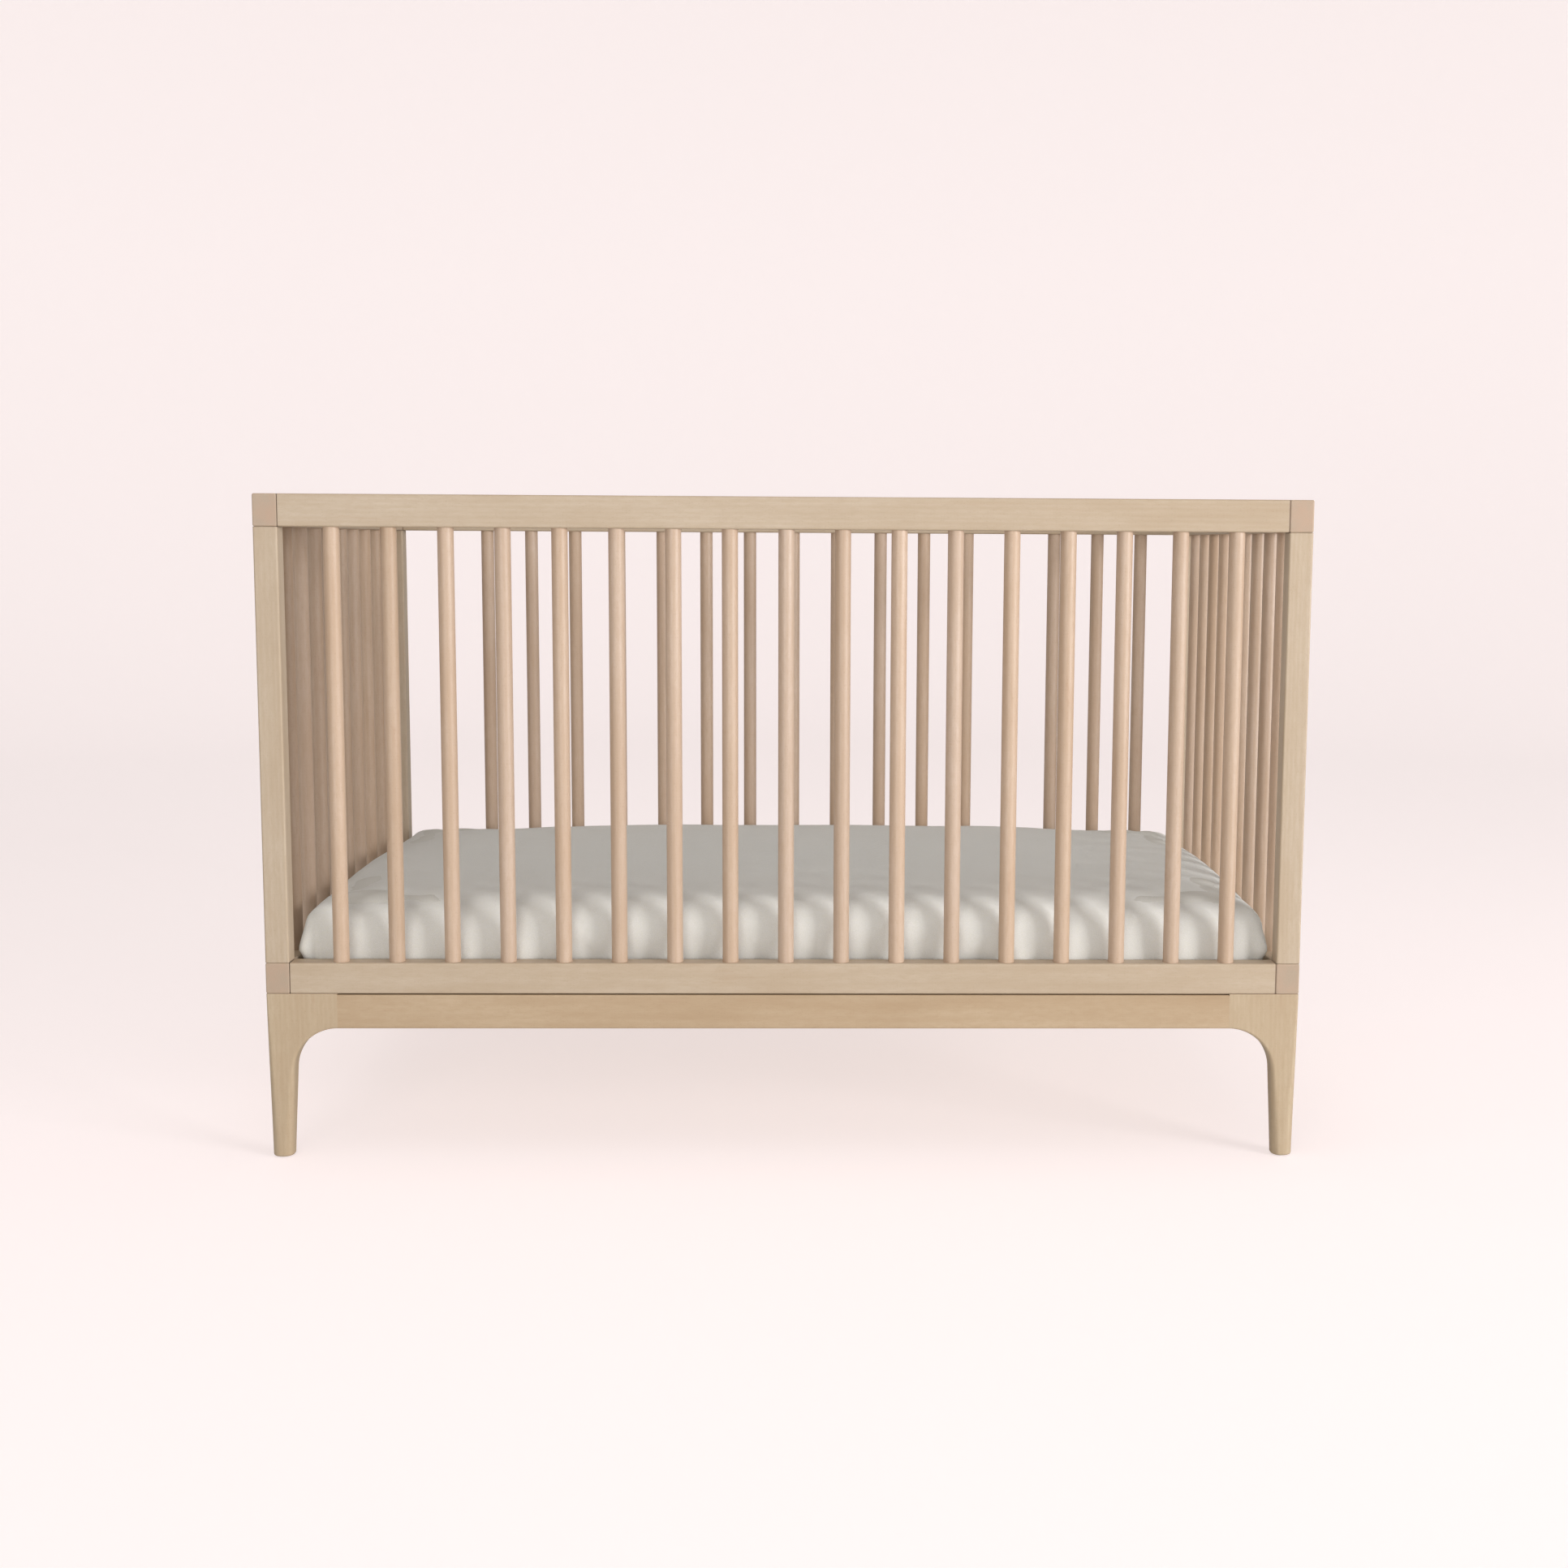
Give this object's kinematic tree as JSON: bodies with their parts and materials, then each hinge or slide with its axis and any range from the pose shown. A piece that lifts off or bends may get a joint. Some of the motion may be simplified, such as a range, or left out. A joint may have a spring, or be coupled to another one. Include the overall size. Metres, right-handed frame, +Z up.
{
  "type": "baby crib",
  "caption": "Full-size wooden baby crib with round spindle sides, rails and posts, curved bracket legs, a slatted height-adjustable mattress support and a mattress in a fitted sheet.",
  "frame": {"origin": "on the floor, under the middle of the crib", "axes": "+X along the length, to the right when facing the front; +Y to the back, the front faces -Y; +Z up"},
  "size_m": [1.394, 0.767, 0.8935],
  "materials": {
    "wood": "light clear-lacquered beech, satin",
    "deck_wood": "planed pine, unfinished",
    "dowel": "fluted beech dowel, unfinished",
    "glide": "white polyethylene",
    "steel": "zinc plated",
    "brass": "yellow zinc plated",
    "bracket": "white powder coat",
    "foam": "quilted ticking over foam",
    "cotton": "off-white cotton jersey"
  },
  "bodies": {
    "crib": {"left_top_rail": "wood", "left_bottom_rail": "wood", "left_front_post": "wood", "left_back_post": "wood", "left_spindles": "wood", "left_apron": "wood", "right_top_rail": "wood", "right_bottom_rail": "wood", "right_front_post": "wood", "right_back_post": "wood", "right_spindles": "wood", "right_apron": "wood", "front_top_rail": "wood", "front_bottom_rail": "wood", "front_spindles": "wood", "front_apron": "wood", "front_left_leg": "wood", "front_right_leg": "wood", "back_top_rail": "wood", "back_bottom_rail": "wood", "back_spindles": "wood", "back_apron": "wood", "back_left_leg": "wood", "back_right_leg": "wood", "leg_glides": "glide", "post_dowels": "dowel", "rail_dowels": "dowel", "base_dowels": "dowel", "connector_bolts": "steel", "barrel_nuts": "steel", "base_bolts": "steel", "bracket_screws": "steel", "base_inserts": "brass", "bracket_inserts": "brass", "front_left_bracket": "bracket", "front_right_bracket": "bracket", "back_left_bracket": "bracket", "back_right_bracket": "bracket"},
    "deck": {"deck_front_bearer": "deck_wood", "deck_back_bearer": "deck_wood", "deck_left_bearer": "deck_wood", "deck_right_bearer": "deck_wood", "deck_centre_bearer": "deck_wood", "deck_slats": "deck_wood", "deck_dowels": "dowel", "slat_screws": "steel"},
    "bedding": {"mattress": "foam", "fitted_sheet": "cotton"}
  },
  "joints": [
    {"name": "deck_height", "type": "slide", "parent": "crib", "child": "deck", "axis": [0, 0, 1], "range_m": [0, 0.128]},
    {"name": "mattress_lift", "type": "slide", "parent": "deck", "child": "bedding", "axis": [0, 0, 1], "range_m": [0, 0.7]}
  ]
}
